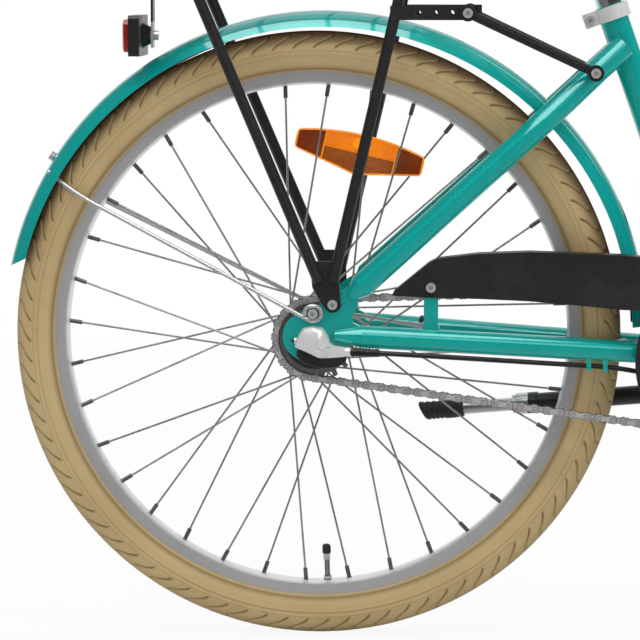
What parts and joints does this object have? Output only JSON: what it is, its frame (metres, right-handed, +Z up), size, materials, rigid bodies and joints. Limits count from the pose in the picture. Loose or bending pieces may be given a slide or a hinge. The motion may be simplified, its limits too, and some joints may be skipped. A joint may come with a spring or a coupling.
{
  "type": "beach cruiser bicycle",
  "caption": "Step-through cruiser bicycle with swept frame tubes, full mudguards, rear carrier, chain guard, coaster gear hub, sprung saddle and swept-back handlebar.",
  "frame": {"origin": "on the ground, below the middle of the overall length, in the frame's middle plane", "axes": "+X forward, +Y to the rider's left, +Z up"},
  "size_m": [1.6159, 0.6446, 0.962],
  "materials": {
    "frame_paint": "gloss turquoise paint",
    "black_paint": "satin black powder coat",
    "black_plastic": "fine-grained black plastic",
    "satin_alloy": "satin cast alloy",
    "chrome_bar": "bright plating",
    "rim_alloy": "anodised alloy",
    "spoke_steel": "drawn wire",
    "zinc_steel": "zinc plating",
    "chain_steel": "nickel plating",
    "tan_tyre": "matt tan rubber",
    "black_rubber": "matt rubber",
    "cable_housing": "smooth black sleeve",
    "amber_reflector": "ribbed amber lens",
    "red_reflector": "ribbed red lens",
    "saddle_vinyl": "brown grained cover",
    "grip_rubber": "brown matt rubber"
  },
  "bodies": {
    "frame": {"head_tube": "frame_paint", "upper_tube": "frame_paint", "down_tube": "frame_paint", "seat_tube": "frame_paint", "bottom_bracket_shell": "frame_paint", "chainstays": "frame_paint", "seatstays": "frame_paint", "dropouts": "frame_paint", "frame_bridges": "frame_paint", "seat_clamp": "satin_alloy", "bearing_cups": "chrome_bar", "rear_fender": "frame_paint", "rear_fender_stays": "spoke_steel", "rack_frame": "black_paint", "rack_struts": "black_paint", "tail_reflector_housing": "black_plastic", "tail_reflector_lens": "red_reflector", "chain_guard": "black_plastic", "chain": "chain_steel", "rear_axle": "zinc_steel", "hub_dust_cap": "black_plastic", "shift_joint_cover": "satin_alloy", "brake_arm": "zinc_steel", "shift_cable": "cable_housing", "kickstand_bracket": "black_paint", "frame_bolts": "zinc_steel"},
    "seat": {"seat_post": "satin_alloy", "saddle_cover": "saddle_vinyl", "saddle_frame": "black_paint", "saddle_springs": "zinc_steel"},
    "steering": {"fork": "frame_paint", "headset_nuts": "chrome_bar", "stem": "satin_alloy", "handlebar": "chrome_bar", "grips": "grip_rubber", "shifter_housing": "black_plastic", "front_fender": "frame_paint", "front_fender_stays": "spoke_steel", "front_axle": "zinc_steel", "shift_cable_front": "cable_housing"},
    "shifter": {"twist_sleeve": "grip_rubber"},
    "front_wheel": {"front_tyre": "tan_tyre", "front_rim": "rim_alloy", "front_spokes": "spoke_steel", "front_hub_shell": "satin_alloy", "front_wheel_reflector": "amber_reflector", "front_inner_tube": "black_rubber"},
    "rear_wheel": {"rear_tyre": "tan_tyre", "rear_rim": "rim_alloy", "rear_spokes": "spoke_steel", "rear_hub_shell": "satin_alloy", "rear_wheel_reflector": "amber_reflector", "rear_inner_tube": "black_rubber"},
    "sprocket": {"rear_sprocket": "zinc_steel"},
    "crank": {"chainring": "zinc_steel", "crank_arms": "satin_alloy"},
    "left_pedal": {"left_pedal": "black_plastic"},
    "right_pedal": {"right_pedal": "black_plastic"},
    "kickstand": {"kickstand_leg": "black_paint", "kickstand_foot": "black_rubber"}
  },
  "joints": [
    {"name": "steering_turn", "type": "hinge", "parent": "frame", "child": "steering", "pos_m": [0.31268, 0, 0.6749], "axis": [-0.3584, 0, 0.9336], "range_deg": [-60, 60], "deforming": ["shift_cable_front"]},
    {"name": "front_wheel_spin", "type": "hinge", "parent": "steering", "child": "front_wheel", "pos_m": [0.508, 0, 0.3], "axis": [0, 1, 0], "continuous": true},
    {"name": "rear_wheel_spin", "type": "hinge", "parent": "frame", "child": "rear_wheel", "pos_m": [-0.502, 0, 0.3], "axis": [0, 1, 0], "continuous": true},
    {"name": "crank_spin", "type": "hinge", "parent": "frame", "child": "crank", "pos_m": [-0.09436, 0, 0.28], "axis": [0, 1, 0], "continuous": true, "deforming": ["chain"]},
    {"name": "sprocket_spin", "type": "hinge", "parent": "frame", "child": "sprocket", "pos_m": [-0.502, -0.046, 0.3], "axis": [0, 1, 0], "continuous": true},
    {"name": "left_pedal_spin", "type": "hinge", "parent": "crank", "child": "left_pedal", "pos_m": [-0.12075, 0.124, 0.42969], "axis": [0, 1, 0], "continuous": true},
    {"name": "right_pedal_spin", "type": "hinge", "parent": "crank", "child": "right_pedal", "pos_m": [-0.06796, -0.124, 0.13031], "axis": [0, 1, 0], "continuous": true},
    {"name": "kickstand_fold", "type": "hinge", "parent": "frame", "child": "kickstand", "pos_m": [-0.12996, 0.028, 0.242], "axis": [-0.0432, -0.8649, -0.5001], "range_deg": [0, 72.98]},
    {"name": "shifter_twist", "type": "hinge", "parent": "steering", "child": "shifter", "pos_m": [0.21254, -0.27769, 0.93578], "axis": [0.9575, 0.2831, 0.0555], "range_deg": [-35, 35]},
    {"name": "seat_height", "type": "slide", "parent": "frame", "child": "seat", "axis": [-0.3322, 0, 0.9432], "range_m": [-0.035, 0.08]}
  ],
  "couplings": [
    {"joint": "sprocket_spin", "follows": "crank_spin", "ratio": 1.8947}
  ]
}
